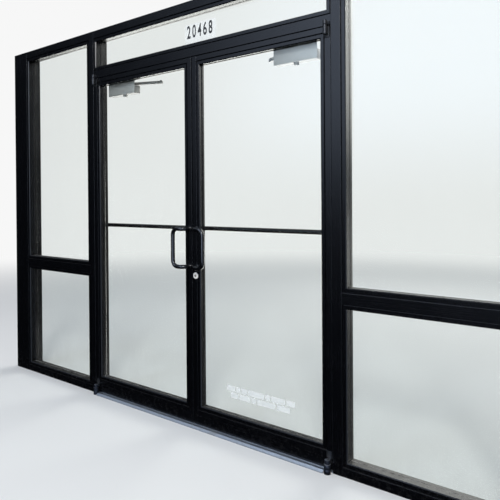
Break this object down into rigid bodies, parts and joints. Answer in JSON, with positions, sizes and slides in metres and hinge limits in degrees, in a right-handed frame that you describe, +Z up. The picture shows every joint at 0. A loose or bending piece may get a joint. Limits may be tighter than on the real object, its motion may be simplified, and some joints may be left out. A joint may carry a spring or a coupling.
{
  "type": "double glass entrance door with transom and side lites",
  "caption": "Pair of glass entrance doors on offset pivots in a black aluminium frame with a glazed transom and side lites; pull handles outside, push bars and closers inside.",
  "frame": {"origin": "middle of the doorway on the floor, in the plane of the frame's front face", "axes": "+X to the right seen from outside, +Y into the room, +Z up"},
  "size_m": [3.7268, 0.2457, 2.463],
  "materials": {
    "black_aluminium": "satin black anodised extrusion",
    "clear_glass": "clear tempered, polished",
    "black_rubber": "matte",
    "grey_pile": "dense woven pile",
    "mill_aluminium": "mill finish, worn by feet",
    "pivot_steel": "satin plated",
    "black_steel": "black plated",
    "closer_grey": "grey sprayed casting",
    "lock_steel": "satin plated"
  },
  "bodies": {
    "frame": {"left_closure": "black_aluminium", "left_jamb": "black_aluminium", "left_mullion": "black_aluminium", "right_mullion": "black_aluminium", "right_jamb": "black_aluminium", "side_heads": "black_aluminium", "center_head": "black_aluminium", "transom_bar": "black_aluminium", "side_rails": "black_aluminium", "side_sills": "black_aluminium", "threshold": "mill_aluminium", "left_lite_glass": "clear_glass", "transom_glass": "clear_glass", "right_lite_glass": "clear_glass", "left_lite_stops": "black_aluminium", "transom_stops": "black_aluminium", "right_lite_stops": "black_aluminium", "lite_rubber": "black_rubber", "door_stops": "black_aluminium", "weatherstrips": "grey_pile", "top_pivot_brackets": "black_steel", "bottom_pivot_bases": "pivot_steel", "closer_shoes": "closer_grey"},
    "left_leaf": {"left_hinge_stile": "black_aluminium", "left_meeting_stile": "black_aluminium", "left_top_rail": "black_aluminium", "left_bottom_rail": "black_aluminium", "left_glass": "clear_glass", "left_stops": "black_aluminium", "left_rubber": "black_rubber", "left_pull_handle": "black_aluminium", "left_push_bar": "black_aluminium", "left_top_pivot_arm": "black_steel", "left_bottom_pivot_arm": "pivot_steel", "left_closer": "closer_grey", "flush_bolt_plates": "lock_steel"},
    "right_leaf": {"right_hinge_stile": "black_aluminium", "right_meeting_stile": "black_aluminium", "right_top_rail": "black_aluminium", "right_bottom_rail": "black_aluminium", "right_glass": "clear_glass", "right_stops": "black_aluminium", "right_rubber": "black_rubber", "right_pull_handle": "black_aluminium", "right_push_bar": "black_aluminium", "right_top_pivot_arm": "black_steel", "right_bottom_pivot_arm": "pivot_steel", "right_closer": "closer_grey", "lock_body": "lock_steel", "meeting_weatherstrip": "grey_pile"},
    "left_closer_arm": {"left_closer_arm": "closer_grey"},
    "left_closer_forearm": {"left_closer_forearm": "closer_grey"},
    "right_closer_arm": {"right_closer_arm": "closer_grey"},
    "right_closer_forearm": {"right_closer_forearm": "closer_grey"},
    "lock_bolt": {"lock_bolt": "lock_steel"},
    "thumb_turn": {"thumb_turn": "lock_steel"},
    "lock_plug": {"lock_plug": "lock_steel"},
    "top_flush_bolt": {"top_flush_bolt": "lock_steel"},
    "bottom_flush_bolt": {"bottom_flush_bolt": "lock_steel"}
  },
  "joints": [
    {"name": "left_leaf_swing", "type": "hinge", "parent": "frame", "child": "left_leaf", "pos_m": [-0.8922, -0.016, 0], "axis": [0, 0, 1], "range_deg": [-100, 0], "stiffness_Nm_per_rad": 12, "springref_deg": 20.05},
    {"name": "left_closer_arm_turn", "type": "hinge", "parent": "left_leaf", "child": "left_closer_arm", "pos_m": [-0.6732, 0.076, 2.072], "axis": [0, 0, 1], "range_deg": [0, 100]},
    {"name": "left_closer_forearm_turn", "type": "hinge", "parent": "frame", "child": "left_closer_forearm", "pos_m": [-0.6592, 0.087, 2.082], "axis": [0, 0, 1], "range_deg": [-100, 0]},
    {"name": "right_leaf_swing", "type": "hinge", "parent": "frame", "child": "right_leaf", "pos_m": [0.8922, -0.016, 0], "axis": [0, 0, 1], "range_deg": [0, 100], "stiffness_Nm_per_rad": 12, "springref_deg": -20.05},
    {"name": "right_closer_arm_turn", "type": "hinge", "parent": "right_leaf", "child": "right_closer_arm", "pos_m": [0.6732, 0.076, 2.072], "axis": [0, 0, 1], "range_deg": [-100, 0]},
    {"name": "right_closer_forearm_turn", "type": "hinge", "parent": "frame", "child": "right_closer_forearm", "pos_m": [0.6592, 0.087, 2.082], "axis": [0, 0, 1], "range_deg": [0, 100]},
    {"name": "lock_bolt_swing", "type": "hinge", "parent": "right_leaf", "child": "lock_bolt", "pos_m": [0.01648, 0.02525, 0.866], "axis": [0, -1, 0], "range_deg": [0, 90]},
    {"name": "thumb_turn_twist", "type": "hinge", "parent": "right_leaf", "child": "thumb_turn", "pos_m": [0.02538, 0.02525, 0.875], "axis": [0, -1, 0], "range_deg": [0, 90]},
    {"name": "lock_plug_twist", "type": "hinge", "parent": "right_leaf", "child": "lock_plug", "pos_m": [0.02538, 0, 0.875], "axis": [0, -1, 0], "range_deg": [-90, 90]},
    {"name": "top_flush_bolt_slide", "type": "slide", "parent": "left_leaf", "child": "top_flush_bolt", "axis": [0, 0, 1], "range_m": [0, 0.019]},
    {"name": "bottom_flush_bolt_slide", "type": "slide", "parent": "left_leaf", "child": "bottom_flush_bolt", "axis": [0, 0, -1], "range_m": [0, 0.012]}
  ],
  "couplings": [
    {"joint": "left_closer_arm_turn", "follows": "left_leaf_swing", "ratio": -1},
    {"joint": "left_closer_forearm_turn", "follows": "left_leaf_swing", "ratio": 1},
    {"joint": "right_closer_arm_turn", "follows": "right_leaf_swing", "ratio": -1},
    {"joint": "right_closer_forearm_turn", "follows": "right_leaf_swing", "ratio": 1},
    {"joint": "thumb_turn_twist", "follows": "lock_bolt_swing", "ratio": 1}
  ]
}
